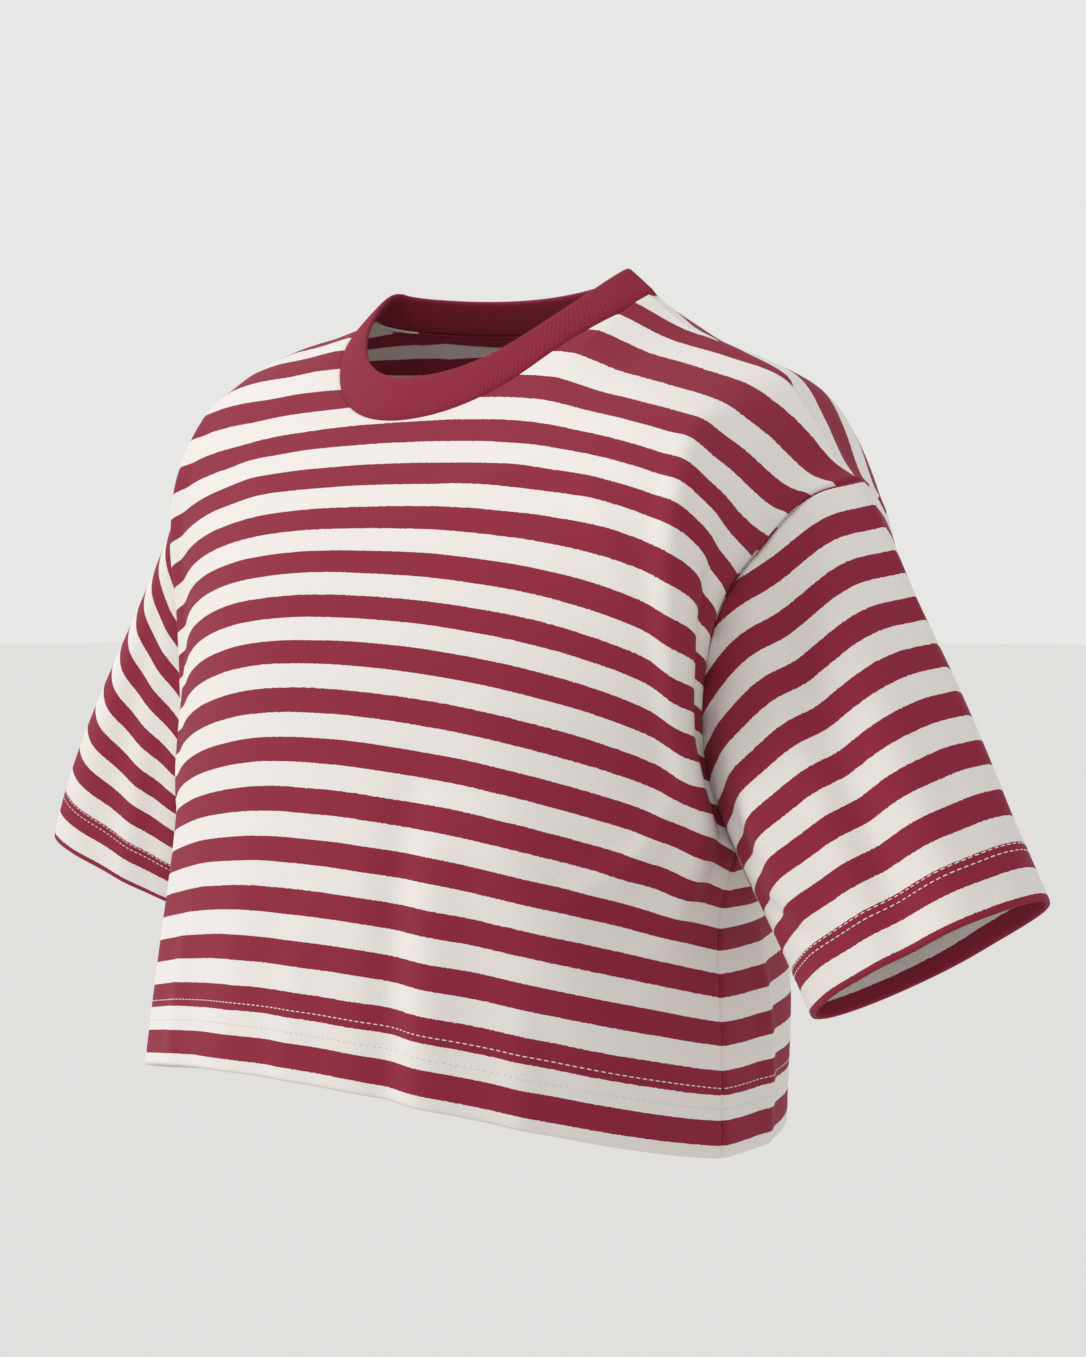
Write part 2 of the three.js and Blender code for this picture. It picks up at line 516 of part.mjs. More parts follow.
function neighbours(piece, row, column) {
  const rows = piece.grid.length;
  const columns = piece.grid[0].length;
  const wrap = (n) => (piece.closed ? (n + columns) % columns : Math.min(Math.max(n, 0), columns - 1));
  return {
    left: piece.grid[row][wrap(column - 1)],
    right: piece.grid[row][wrap(column + 1)],
    below: piece.grid[Math.max(row - 1, 0)][column],
    above: piece.grid[Math.min(row + 1, rows - 1)][column],
  };
}

function gridNormals(piece) {
  return piece.grid.map((points, row) => points.map((_, column) => {
    const { left, right, below, above } = neighbours(piece, row, column);
    const normal = right.clone().sub(left).cross(above.clone().sub(below)).normalize();
    return piece.flip ? normal.negate() : normal;
  }));
}

// Along a seam, both pieces share one normal, so that their rims face each other squarely
function shareSeamNormals(sewn) {
  const edges = [];
  for (const piece of sewn) {
    const rows = piece.grid.length;
    const columns = piece.grid[0].length;
    piece.grid.forEach((points, row) => points.forEach((point, column) => {
      const side = !piece.closed && (column === 0 || column === columns - 1);
      if (row > 0 && row < rows - 1 && !side) return;
      edges.push({ point, normal: piece.normals[row][column] });
    }));
  }
  const shared = edges.map(({ point }) => {
    const sum = new THREE.Vector3();
    for (const other of edges) {
      if (point.distanceTo(other.point) < SAME_POINT) sum.add(other.normal);
    }
    return sum.normalize();
  });
  edges.forEach(({ normal }, n) => normal.copy(shared[n]));
}

// Edge points step back from the seam by half of its gap
function stepBack(piece) {
  const rows = piece.grid.length;
  const columns = piece.grid[0].length;
  return piece.grid.map((points, row) => points.map((point, column) => {
    const { left, right, below, above } = neighbours(piece, row, column);
    const normal = piece.normals[row][column];
    const moved = point.clone();
    const pull = (before, after, inside) => {
      const way = after.clone().sub(before).cross(normal).normalize();
      if (way.dot(inside) < 0) way.negate();
      moved.addScaledVector(way, SEAM_GAP / 2);
    };
    if (row === 0) pull(left, right, above.clone().sub(point));
    if (row === rows - 1) pull(left, right, below.clone().sub(point));
    if (!piece.closed && column === 0) pull(below, above, right.clone().sub(point));
    if (!piece.closed && column === columns - 1) pull(below, above, left.clone().sub(point));
    return moved;
  }));
}

// The closed wall of a piece: an outer and an inner face, joined round the edges
function wallMesh(piece) {
  const grid = stepBack(piece);
  const rows = grid.length;
  const columns = grid[0].length;
  const positions = [];
  for (const side of [0.5, -0.5]) {
    grid.forEach((points, row) => points.forEach((point, column) => {
      const moved = point.clone().addScaledVector(piece.normals[row][column], side * piece.wall);
      positions.push(...moved.toArray());
    }));
  }
  const inner = rows * columns;
  const at = (row, column) => row * columns + (column % columns);
  const faces = [];
  const quad = (a, b, c, d) => {
    const turned = piece.flip ? [a, d, c, b] : [a, b, c, d];
    faces.push(turned[0], turned[1], turned[2], turned[0], turned[2], turned[3]);
  };
  const spans = piece.closed ? columns : columns - 1;
  for (let row = 0; row < rows - 1; row += 1) {
    for (let column = 0; column < spans; column += 1) {
      const a = at(row, column);
      const b = at(row, column + 1);
      const c = at(row + 1, column + 1);
      const d = at(row + 1, column);
      quad(a, b, c, d);
      quad(inner + d, inner + c, inner + b, inner + a);
    }
  }
  // A rim face splits from its lower outer corner, so that both sides of a seam split alike
  const heights = piece.grid.flat().map((point) => point.z);
  const rim = (a, b) => {
    if (heights[a] < heights[b]) quad(a, b, inner + b, inner + a);
    else quad(b, inner + b, inner + a, a);
  };
  for (let column = 0; column < spans; column += 1) {
    rim(at(0, column + 1), at(0, column));
    rim(at(rows - 1, column), at(rows - 1, column + 1));
  }
  if (!piece.closed) {
    for (let row = 0; row < rows - 1; row += 1) {
      rim(at(row, 0), at(row + 1, 0));
      rim(at(row + 1, columns - 1), at(row, columns - 1));
    }
  }
  const geometry = new THREE.BufferGeometry();
  geometry.setAttribute('position', new THREE.Float32BufferAttribute(positions, 3));
  geometry.setIndex(faces);
  geometry.computeVertexNormals();
  const material = new THREE.MeshStandardMaterial({
    color: piece.colour, roughness: piece.roughness, metalness: 0,
  });
  const mesh = new THREE.Mesh(geometry, material);
  mesh.name = piece.name;
  return mesh;
}

const JERSEY_LOOK = { wall: JERSEY, colour: 0xb98a8c, roughness: 0.9 };
const RIB_LOOK = { wall: RIB, colour: 0x7d2438, roughness: 0.92 };
const TAPE_LOOK = { wall: TAPE, colour: 0x7d2438, roughness: 0.9 };

const pieces = [
  clothPiece('front', panelGrid('front'), JERSEY_LOOK),
  clothPiece('back', panelGrid('back'), { ...JERSEY_LOOK, flip: true }),
  clothPiece('sleeve_left', sleeveGrid(1), { ...JERSEY_LOOK, closed: true, flip: true }),
  clothPiece('sleeve_right', sleeveGrid(-1), { ...JERSEY_LOOK, closed: true }),
  clothPiece('collar', collarGrid(), { ...RIB_LOOK, closed: true }),
];
for (const piece of pieces) piece.normals = gridNormals(piece);
shareSeamNormals(pieces);
const backPanel = pieces.find((piece) => piece.name === 'back');
const tape = clothPiece('neck_tape', tapeGrid(backPanel), { ...TAPE_LOOK, flip: true });
tape.normals = gridNormals(tape);
pieces.push(tape);

const top = new THREE.Group();
for (const piece of pieces) top.add(wallMesh(piece));

export default top;
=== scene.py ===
import math

import bmesh
import bpy
import numpy as np
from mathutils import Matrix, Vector


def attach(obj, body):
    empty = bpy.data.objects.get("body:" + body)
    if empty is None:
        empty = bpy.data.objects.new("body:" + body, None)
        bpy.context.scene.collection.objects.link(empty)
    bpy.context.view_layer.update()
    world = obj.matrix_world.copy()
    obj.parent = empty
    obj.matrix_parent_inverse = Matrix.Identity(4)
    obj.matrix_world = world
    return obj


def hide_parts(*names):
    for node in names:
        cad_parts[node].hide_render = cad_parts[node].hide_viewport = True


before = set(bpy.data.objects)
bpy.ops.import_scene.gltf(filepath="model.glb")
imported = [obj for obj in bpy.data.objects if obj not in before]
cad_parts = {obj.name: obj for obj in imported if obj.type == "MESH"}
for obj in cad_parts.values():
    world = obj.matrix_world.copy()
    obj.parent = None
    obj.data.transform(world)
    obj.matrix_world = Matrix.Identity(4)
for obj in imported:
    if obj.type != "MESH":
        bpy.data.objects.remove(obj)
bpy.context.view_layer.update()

# A cropped, boxy T-shirt in striped single jersey, filled out as worn with nobody in it.
# Sizes are millimetres, on the flat cut and in the row frame; meshes are made in metres.
# The front faces -Y and the wearer's left is +X.
MM = 0.001

# Cut of the panels, flat
CHEST_HALF = 260.0
SHOULDER_HALF = 262.0
NECK_HALF = 100.0
NECK_POINT_UP = 431.0
SHOULDER_UP = 393.0
UNDERARM_UP = 170.0
FRONT_NECK_UP = 346.5
BACK_NECK_UP = 406.0
BODY_HEM = 38.0  # turned in at the lower edge

# Cut of the sleeves
SLEEVE_WIDTH = 360.0
SLEEVE_TOP = 218.0
SLEEVE_UNDERARM = 118.0
SLEEVE_HEM = 29.0

# Stripes
STRIPE_REPEAT = 25.0
BODY_STRIPE_START = 6.0  # hem edge to the lower edge of the first burgundy stripe
SLEEVE_STRIPE_START = 15.5

# Cloth
JERSEY = 0.9
RIB = 0.9  # one layer of the folded rib
RIB_WIDTH = 21.0
RIB_LONG = 533.0  # round the neck seam
RIB_LAYER = 0.8  # middle of the folded rib to the middle of each layer
RIB_TUCK = 1.6  # below the seam line
RIB_ROWS = 9
RIB_PLUMP = 0.35
RIB_SINK = 1.1  # at the seam, fading over RIB_SINK_REACH
RIB_SINK_REACH = 1.2
# The free edge is averaged from places these steps of RIB_EASE of the way round from it
RIB_EASE = 0.02
RIB_EASE_STEPS = (-2, -1, 0, 1, 2)
NECK_DEEP = 60.0  # half the depth of the oval that the rib leans in from, beside NECK_HALF
RIB_COUNT = 244
RIB_RIDGE = 0.13
TAPE = 0.5
TAPE_WIDTH = 8.0
TAPE_START = 1.0  # below the neck seam
TAPE_INSET = 1.3
TAPE_PUCKER = 0.22
TAPE_PUCKER_PITCH = 190  # radians of pucker for the width of the neck
TAPE_ROW_INSET = 1.2
HEM_LAYER = 1.5  # middle of the outer layer to middle of the turned-in one
HEM_ROLL = 1.2
SEAM_DEPTH = 1.7
SEAM_REACH = 1.5
SEAM_SWELL = 0.35
SEAM_SWELL_AT = 4.0
SEAM_SWELL_WIDE = 2.5

# Sewing
BODY_HEM_ROWS = (24.0, 34.5)
SLEEVE_HEM_ROWS = (24.0, 27.2)
STITCH = {"pitch": 3.3, "wide": 0.6, "thick": 0.5, "dive": 0.75, "steps": 6, "sides": 5}


def table(columns, *rows):
    """A table with named columns, as one array a column."""
    return {name: np.array(values, float) for name, values in zip(columns.split(), zip(*rows))}


# Levels of the panels: up is the height on the flat cut, fwd and z place the centre line,
# reach is how far it runs straight out from there. edge_x, edge_y, edge_z place the panel's edge,
# which the section meets turned back by turn and dipped by dip degrees, over a length of soft.
LEVELS = {
    "front": table(
        "up fwd z reach edge_x edge_y edge_z turn dip soft",
        (0, 159, -379, 102, 186, -46, -408, 88, 8, 78),
        (60, 155, -321, 106, 185, -45, -353, 88, 11, 78),
        (120, 148, -263, 108, 184, -46, -301, 92, 14, 74),
        (170, 142, -215, 118, 191, -43, -266, 118, 18, 66),
        (215, 136, -173, 130, 190, -63, -227, 135, 20, 70),
        (260, 125, -134, 142, 197, -73, -188, 138, 19, 76),
        (300, 108, -100, 150, 207, -72, -153, 126, 29, 74),
        (340, 80, -66, 145, 219, -56, -125, 104, 30, 71),
        (370, 52, -40, 122, 229, -33, -102, 62, 34, 74),
        (393, 30, -18, 100, 239, -12, -95, 16, 46, 88),
        (431, 0, 6, 92, 250, 22, -84, 0, 48, 90),
    ),
    "back": table(
        "up fwd z reach edge_x edge_y edge_z turn dip soft",
        (0, 108, -398, 112, 186, -46, -408, 88, 0, 78),
        (60, 108, -339, 110, 185, -45, -353, 88, 0, 78),
        (120, 108, -280, 108, 184, -46, -301, 86, 0, 74),
        (170, 110, -232, 112, 191, -43, -266, 80, 6, 80),
        (215, 114, -188, 116, 196, -6, -230, 66, 28, 62),
        (260, 116, -144, 118, 206, 28, -192, 50, 44, 52),
        (300, 114, -103, 116, 215, 38, -154, 38, 52, 55),
        (340, 104, -62, 112, 225, 30, -122, 28, 54, 72),
        (370, 88, -36, 104, 231, 10, -103, 16, 50, 85),
        (393, 70, -18, 96, 239, -12, -95, 8, 48, 90),
        (431, 30, 6, 92, 248, -44, -84, 0, 48, 90),
    ),
}
# The wearer's right, mirrored: its edges, where it shares the left's centre line
RIGHT_LEVELS = {
    "front": table(
        "up reach edge_x edge_y edge_z turn dip soft",
        (0, 100, 184, -44, -408, 88, 7, 78),
        (60, 95, 179, -40, -353, 88, 7, 74),
        (120, 92, 176, -38, -300, 88, 6, 70),
        (170, 92, 189, -35, -264, 84, 12, 62),
        (215, 96, 194, -40, -223, 70, 24, 52),
        (270, 108, 206, -40, -171, 58, 32, 46),
        (311, 115, 218, -41, -134, 54, 34, 46),
        (340, 115, 225, -37, -106, 50, 36, 50),
        (370, 108, 233, -19, -78, 36, 42, 66),
        (393, 100, 242, 0, -69, 16, 46, 88),
        (431, 92, 253, 34, -58, 0, 48, 90),
    ),
    "back": table(
        "up reach edge_x edge_y edge_z turn dip soft",
        (0, 112, 184, -44, -408, 88, 0, 78),
        (60, 110, 179, -40, -353, 88, 0, 74),
        (120, 108, 176, -38, -300, 86, 0, 72),
        (170, 110, 189, -35, -264, 80, 6, 76),
        (215, 116, 196, -1, -225, 66, 28, 62),
        (270, 118, 207, 34, -176, 48, 45, 52),
        (311, 116, 218, 40, -133, 36, 52, 57),
        (340, 112, 228, 35, -104, 28, 54, 72),
        (370, 104, 235, 19, -80, 16, 50, 85),
        (393, 96, 242, 0, -69, 8, 48, 90),
        (431, 92, 251, -32, -58, 0, 48, 90),
    ),
}
# Shoulder seams, from the high neck point out; cut is the distance from the centre line, flat.
# The right one, mirrored too, is held higher.
SHOULDER_SEAMS = {
    "left": table(
        "cut x y z",
        (100, 100, 0, 0),
        (130, 127, -2, -18),
        (164, 161, -5, -32),
        (196, 191, -8, -46),
        (224, 210, -9, -65),
        (250, 230, -11, -90),
        (262, 239, -12, -95),
    ),
    "right": table(
        "cut x y z",
        (100, 100, 0, 0),
        (130, 127, 0, -7),
        (164, 162, 0, -13),
        (196, 193, 0, -22),
        (224, 216, 0, -37),
        (250, 234, 0, -61),
        (262, 242, 0, -69),
    ),
}
SHOULDER_FADE = 110.0
SIDE_FADE = 60.0

# Cuffs: a level oval, tipped up by lean and turned back by swing degrees. leave is how far outwards
# the sleeve sets off from its armhole.
CUFFS = {
    "left": {"centre": (292, -31, -309), "long": 63, "deep": 36, "lean": 29, "swing": 6, "leave": 0.45},
    "right": {"centre": (265, -25, -310), "long": 73, "deep": 21, "lean": 18, "swing": -12, "leave": 0.28},
}
SLEEVE_START = {"back": -0.05, "down": 0.85, "out_at_top": 0.1, "out_at_back": -0.1, "back_at_back": -0.5}
SLEEVE_BEND = 0.33

# Collar: how steeply the rib stands, by the share of the way round from the centre front
RIB_STAND = table("turn rise", (0, 68), (0.12, 60), (0.25, 45), (0.38, 47), (0.5, 46))

# Folds on the cut: each runs from one point to the other, bows sideways by bow,
# stands out by height (in, where that is less than 0) and is about twice width wide.
FOLD_COLUMNS = "from_x from_up to_x to_up bow height width"
PANEL_FOLDS = {
    "front": table(
        FOLD_COLUMNS,
        (200, 385, 230, 96, -5, 6, 9),
        (238, 350, 247, 130, 0, -5, 8),
        (102, 150, 98, -70, 0, 4, 16),
        (78, 170, 74, -70, 0, -4, 13),
        (106, 200, 220, 10, 8, 4, 24),
        (236, 165, 205, 40, 0, 3, 12),
        (-204, 385, -228, 110, 6, 5, 10),
        (-240, 345, -248, 150, 0, -6, 9),
        (-222, 175, -218, 20, 0, -3, 22),
        (-150, 150, -156, -70, 0, 3, 20),
        (-30, 130, -46, -70, 0, 3, 24),
    ),
    "back": table(
        FOLD_COLUMNS,
        (196, 345, 236, 120, -12, 6, 15),
        (241, 330, 250, 140, 0, -6, 12),
        (-192, 350, -238, 115, 11, 7, 14),
        (-241, 335, -250, 140, 0, -6, 12),
        (40, 230, 62, -70, 6, 4, 22),
        (96, 180, 92, -70, 0, -4, 16),
        (-66, 250, -40, -70, -8, 5, 26),
        (-112, 210, -120, -70, 0, -4, 17),
        (150, 200, 196, 10, 6, 3, 20),
        (-158, 190, -206, 5, 0, 4, 19),
        (96, 402, 264, 362, 0, 6, 20),
        (-96, 402, -264, 362, 0, 5, 20),
    ),
}
# Smaller creases, which the solids leave out
PANEL_CREASES = {
    "front": table(
        FOLD_COLUMNS,
        (232, 215, 196, 120, 5, 2.72, 7),
        (214, 150, 168, 96, 4, 1.87, 9),
        (150, 318, 196, 262, -4, 1.53, 10),
        (-206, 240, -178, 150, -5, 2.38, 8),
        (-228, 160, -196, 84, 4, 2.04, 8),
        (20, 96, 8, -60, 3, 2.04, 12),
        (150, 78, 158, -60, 2, 2.21, 10),
        (-96, 84, -104, -60, 3, 2.38, 12),
        (60, 300, 128, 330, 5, 1.36, 12),
        (-60, 300, -132, 336, -5, 1.36, 12),
    ),
    "back": table(
        FOLD_COLUMNS,
        (226, 118, 221, -20, 3, 3.4, 7),
        (236, 210, 190, 128, -5, 2.55, 8),
        (-232, 214, -190, 132, 5, 2.72, 8),
        (-224, 120, -226, -20, -3, 2.72, 8),
        (0, 120, -6, -60, 4, 2.21, 12),
        (134, 90, 140, -60, 2, 2.04, 10),
        (-168, 96, -176, -60, 3, 2.21, 11),
        (-60, 372, 40, 384, 4, 1.7, 9),
        (30, 352, 120, 366, 5, 1.36, 11),
    ),
}
# Folds on the sleeves: around is a share of the way round from the underarm, front first,
# and down is the share of the way from the armhole to the cuff.
SLEEVE_COLUMNS = "from_around from_down to_around to_down height width"
SLEEVE_FOLDS = {
    "left": table(
        SLEEVE_COLUMNS,
        (0.36, 0.05, 0.27, 1.1, -6, 0.032),
        (0.43, 0.08, 0.345, 1.1, 5, 0.038),
        (0.2, 0.1, 0.17, 1.1, 4, 0.035),
        (0.12, 0.15, 0.11, 0.8, -3, 0.03),
        (0.74, 0.1, 0.7, 1.1, -5, 0.05),
        (0.62, 0.2, 0.6, 1.1, 3, 0.04),
    ),
    "right": table(
        SLEEVE_COLUMNS,
        (0.34, 0.1, 0.3, 1.1, -3, 0.04),
        (0.2, 0.15, 0.18, 1.1, 3, 0.035),
        (0.13, 0.2, 0.12, 1.0, -3, 0.03),
        (0.72, 0.15, 0.76, 1.1, -5, 0.05),
        (0.6, 0.1, 0.63, 1.1, 3, 0.04),
    ),
}
SLEEVE_CREASES = {
    "left": table(
        SLEEVE_COLUMNS,
        (0.08, 0.3, 0.16, 0.75, 2.16, 0.02),
        (0.1, 0.55, 0.2, 0.9, -1.8, 0.022),
        (0.28, 0.5, 0.24, 1.1, 1.8, 0.025),
        (0.55, 0.3, 0.5, 0.9, 1.8, 0.03),
        (0.86, 0.2, 0.8, 0.8, 2.52, 0.03),
    ),
    "right": table(
        SLEEVE_COLUMNS,
        (0.09, 0.25, 0.17, 0.8, 2.16, 0.022),
        (0.27, 0.45, 0.25, 1.1, 1.8, 0.025),
        (0.52, 0.3, 0.56, 0.95, 1.8, 0.03),
        (0.86, 0.25, 0.82, 0.85, 2.34, 0.03),
    ),
}
FOLD_EDGE_FADE = 20.0
SLEEVE_FOLD_START = 0.12
FOLD_SWELL = 0.7
BEZIER_STEPS = 24
CUT_STEP = 2.0
SHARE_STEP = 0.01


def smooth_step(value):
    t = np.clip(value, 0, 1)
    return t * t * (3 - 2 * t)


def unit(vectors):
    return vectors / np.linalg.norm(vectors, axis=-1, keepdims=True)


def read_table(rows, key, column, at):
    """A smooth curve through the rows of a table, read at places in its key column."""
    xs, ys = rows[key], rows[column]
    gaps = np.diff(xs)
    slopes = np.diff(ys) / gaps
    inner = (gaps[1:] * slopes[:-1] + gaps[:-1] * slopes[1:]) / (gaps[1:] + gaps[:-1])
    tangents = np.concatenate([slopes[:1], inner, slopes[-1:]])
    at = np.asarray(at, float)
    row = np.clip(np.searchsorted(xs, at, side="right") - 1, 0, len(xs) - 2)
    span = gaps[row]
    t = (at - xs[row]) / span
    s = 1 - t
    return (
        (1 + 2 * t) * s * s * ys[row]
        + t * s * s * span * tangents[row]
        + t * t * (3 - 2 * t) * ys[row + 1]
        - t * t * s * span * tangents[row + 1]
    )


def along_bezier(corners, share):
    """Points a share of the length along Bezier curves."""
    a, b, c, d = corners

    def at(t):
        t = np.asarray(t)[..., None]
        s = 1 - t
        return s**3 * a + 3 * s * s * t * b + 3 * s * t * t * c + t**3 * d

    marks = [at(np.full(share.shape, n / BEZIER_STEPS)) for n in range(BEZIER_STEPS + 1)]
    steps = [np.linalg.norm(q - p, axis=-1) for p, q in zip(marks, marks[1:])]
    run = np.concatenate([np.zeros((1,) + share.shape), np.cumsum(steps, 0)])
    target = np.clip(share, 0, 1) * run[-1]
    n = np.clip((run[1:] < target).sum(0), 0, BEZIER_STEPS - 1)[None]
    low, high = np.take_along_axis(run, n, 0)[0], np.take_along_axis(run, n + 1, 0)[0]
    return at((n[0] + (target - low) / np.maximum(high - low, 1e-9)) / BEZIER_STEPS)


def edge_at(up):
    rise = np.clip((up - UNDERARM_UP) / (SHOULDER_UP - UNDERARM_UP), 0, 1)
    return CHEST_HALF + (SHOULDER_HALF - CHEST_HALF) * rise


def shoulder_up(x):
    share = (np.abs(x) - NECK_HALF) / (SHOULDER_HALF - NECK_HALF)
    return NECK_POINT_UP - (NECK_POINT_UP - SHOULDER_UP) * share


def neck_up(panel, x):
    drop = NECK_POINT_UP - (FRONT_NECK_UP if panel == "front" else BACK_NECK_UP)
    return NECK_POINT_UP - drop * np.sqrt(np.clip(1 - (x / NECK_HALF) ** 2, 0, 1))


def top_up(panel, x):
    return np.where(np.abs(x) < NECK_HALF, neck_up(panel, x), shoulder_up(x))


def level_points(panel, right, x, up):
    """A panel's own level curves, with the right side's rows where right is 1.

    x is the distance from the centre line on the cut; the caller mirrors the right side.
    """
    rows, face = LEVELS[panel], (-1 if panel == "front" else 1)
    at = {name: read_table(rows, "up", name, up) for name in rows if name != "up"}
    right_rows = RIGHT_LEVELS[panel]
    for name in right_rows:
        if name != "up":
            at[name] = np.where(right, read_table(right_rows, "up", name, up), at[name])
    turn, dip = np.radians(at["turn"]), np.radians(at["dip"])
    level = np.cos(dip)
    heading = np.stack([level * np.cos(turn), -face * level * np.sin(turn), -np.sin(dip)], -1)
    centre = np.stack([0 * up, face * at["fwd"], at["z"]], -1)
    shoulder = np.stack([at["reach"], face * at["fwd"], at["z"]], -1)
    edge = np.stack([at["edge_x"], at["edge_y"], at["edge_z"]], -1)
    before = edge - heading * at["soft"][..., None]
    return along_bezier([centre, shoulder, before, edge], x / edge_at(up))


def pull_to_shoulder(panel, right, seam_x):
    """What draws a panel's own curves to the shoulder seam, at places along that seam."""
    left_seam, right_seam = (
        np.stack([read_table(SHOULDER_SEAMS[name], "cut", axis, seam_x) for axis in "xyz"], -1)
        for name in ("left", "right")
    )
    seam = np.where(right[..., None], right_seam, left_seam)
    return seam - level_points(panel, right, seam_x, shoulder_up(seam_x))


def smooth_points(panel, x, up):
    """The panel without its folds, drawn to the shared shoulder and side seams."""
    out = np.abs(x)
    right = np.where(x < 0, 1, 0)
    points = level_points(panel, right, out, up)
    seam_x = np.clip(out, NECK_HALF, SHOULDER_HALF)
    seam_up = shoulder_up(seam_x)
    off_centre = np.minimum(out / NECK_HALF, 1)[..., None]
    own = pull_to_shoulder(panel, right, seam_x)
    other = pull_to_shoulder(panel, 1 - right, seam_x)
    pull = other + (own - other) * smooth_step((1 + off_centre) / 2)
    pull[..., 0] = own[..., 0] * off_centre[..., 0]
    points = points + pull * smooth_step(1 - (seam_up - up) / SHOULDER_FADE)[..., None]
    low = np.minimum(up, UNDERARM_UP)
    side = np.full(up.shape, CHEST_HALF)
    other = "back" if panel == "front" else "front"
    to_side = 0.5 * (level_points(other, right, side, low) - level_points(panel, right, side, low))
    pull = np.where(up < UNDERARM_UP, smooth_step(1 - (CHEST_HALF - out) / SIDE_FADE), 0)
    points = points + to_side * pull[..., None]
    points[..., 0] *= 1 - 2 * right
    return points


def fold_height(folds, x, up):
    """How far the folds stand out at places on the cut."""
    height = np.zeros(x.shape)
    columns = (folds[name] for name in FOLD_COLUMNS.split())
    for from_x, from_up, to_x, to_up, bow, fold, width in zip(*columns):
        length = math.hypot(to_x - from_x, to_up - from_up)
        run_x, run_up = (to_x - from_x) / length, (to_up - from_up) / length
        share = ((x - from_x) * run_x + (up - from_up) * run_up) / length
        inside = np.clip(share, 0, 1)
        aside = (x - from_x) * run_up - (up - from_up) * run_x - bow * 4 * inside * (1 - inside)
        height += fold * np.sin(np.pi * inside) ** FOLD_SWELL * np.exp(-((aside / width) ** 2))
    return height


def panel_normals(panel, x, up):
    across = smooth_points(panel, x + CUT_STEP, up) - smooth_points(panel, x - CUT_STEP, up)
    rising = smooth_points(panel, x, up + CUT_STEP) - smooth_points(panel, x, up - CUT_STEP)
    normals = unit(np.cross(across, rising))
    return normals if panel == "front" else -normals


def panel_calm(panel, x, up):
    """1 in the open, falling to 0 at the shoulder and side seams, where folds die out."""
    to_side = CHEST_HALF - np.abs(x) + np.maximum(0, up - UNDERARM_UP)
    to_shoulder = top_up(panel, x) - up
    over = np.where(np.abs(x) > NECK_HALF, smooth_step(to_shoulder / FOLD_EDGE_FADE), 1)
    return over * smooth_step(to_side / FOLD_EDGE_FADE)


def panel_points(panel, x, up, out=0.0):
    """Places on a panel by its cut, out millimetres off the middle of the cloth."""
    x, up = np.broadcast_arrays(np.asarray(x, float), np.asarray(up, float))
    folds = fold_height(PANEL_FOLDS[panel], x, up) + fold_height(PANEL_CREASES[panel], x, up)
    height = panel_calm(panel, x, up) * folds + out
    return smooth_points(panel, x, up) + panel_normals(panel, x, up) * height[..., None]


def armhole_points(side, around):
    """The armhole's edge, by the share of the way round from the underarm, front first."""
    up = UNDERARM_UP + (SHOULDER_UP - UNDERARM_UP) * (1 - np.abs(1 - 2 * around))
    x = side * edge_at(up)
    front = np.where(around <= 0.5, 1, 0)[..., None]
    return front * smooth_points("front", x, up) + (1 - front) * smooth_points("back", x, up)


def sleeve_places(side, around, share):
    cuff = CUFFS["left" if side > 0 else "right"]
    lean, swing = math.radians(cuff["lean"]), math.radians(cuff["swing"])
    level = math.cos(swing)
    outward = np.array([math.cos(lean) * level, math.sin(swing), math.sin(lean) * level])
    down = np.array([math.sin(lean), 0, -math.cos(lean)])
    backward = unit(np.cross(outward, down))
    start = armhole_points(side, around) * [side, 1, 1]
    angle = (2 * np.pi * around)[..., None]
    end = np.array(cuff["centre"]) - outward * cuff["long"] * np.cos(angle)
    end = end - backward * cuff["deep"] * np.sin(angle)
    top = np.sin(np.pi * around) ** 2
    behind = np.maximum(0, -np.sin(2 * np.pi * around))
    leaving = unit(np.stack([
        cuff["leave"] + SLEEVE_START["out_at_top"] * top + SLEEVE_START["out_at_back"] * behind,
        SLEEVE_START["back"] + SLEEVE_START["back_at_back"] * behind,
        np.full(around.shape, -SLEEVE_START["down"]),
    ], -1))
    reach = np.linalg.norm(end - start, axis=-1, keepdims=True) * SLEEVE_BEND
    return along_bezier([start, start + leaving * reach, end - down * reach, end], share) * [side, 1, 1]


def sleeve_folds(side, around, share):
    height = np.zeros(around.shape)
    name = "left" if side > 0 else "right"
    for folds in (SLEEVE_FOLDS[name], SLEEVE_CREASES[name]):
        columns = (folds[column] for column in SLEEVE_COLUMNS.split())
        for from_around, from_down, to_around, to_down, fold, width in zip(*columns):
            along = np.clip((share - from_down) / (to_down - from_down), 0, 1)
            middle = from_around + (to_around - from_around) * along
            swell = np.sin(np.pi * along) ** FOLD_SWELL
            height += fold * swell * np.exp(-(((around - middle) / width) ** 2))
    return height * smooth_step(share / SLEEVE_FOLD_START)


def sleeve_points(side, around, share, out=0.0):
    around, share = np.broadcast_arrays(np.asarray(around, float), np.asarray(share, float))
    below = np.minimum(share + SHARE_STEP, 1)
    ahead, behind = (around + SHARE_STEP) % 1, (around - SHARE_STEP) % 1
    ring = sleeve_places(side, ahead, share) - sleeve_places(side, behind, share)
    run = sleeve_places(side, around, below) - sleeve_places(side, around, below - 2 * SHARE_STEP)
    normals = side * unit(np.cross(run, ring))
    height = sleeve_folds(side, around, share) + out
    return sleeve_places(side, around, share) + normals * height[..., None]


def sleeve_length(around):
    """Armhole to cuff on the cut, by the share of the way round."""
    return SLEEVE_UNDERARM + (SLEEVE_TOP - SLEEVE_UNDERARM) * np.sin(np.pi * around)


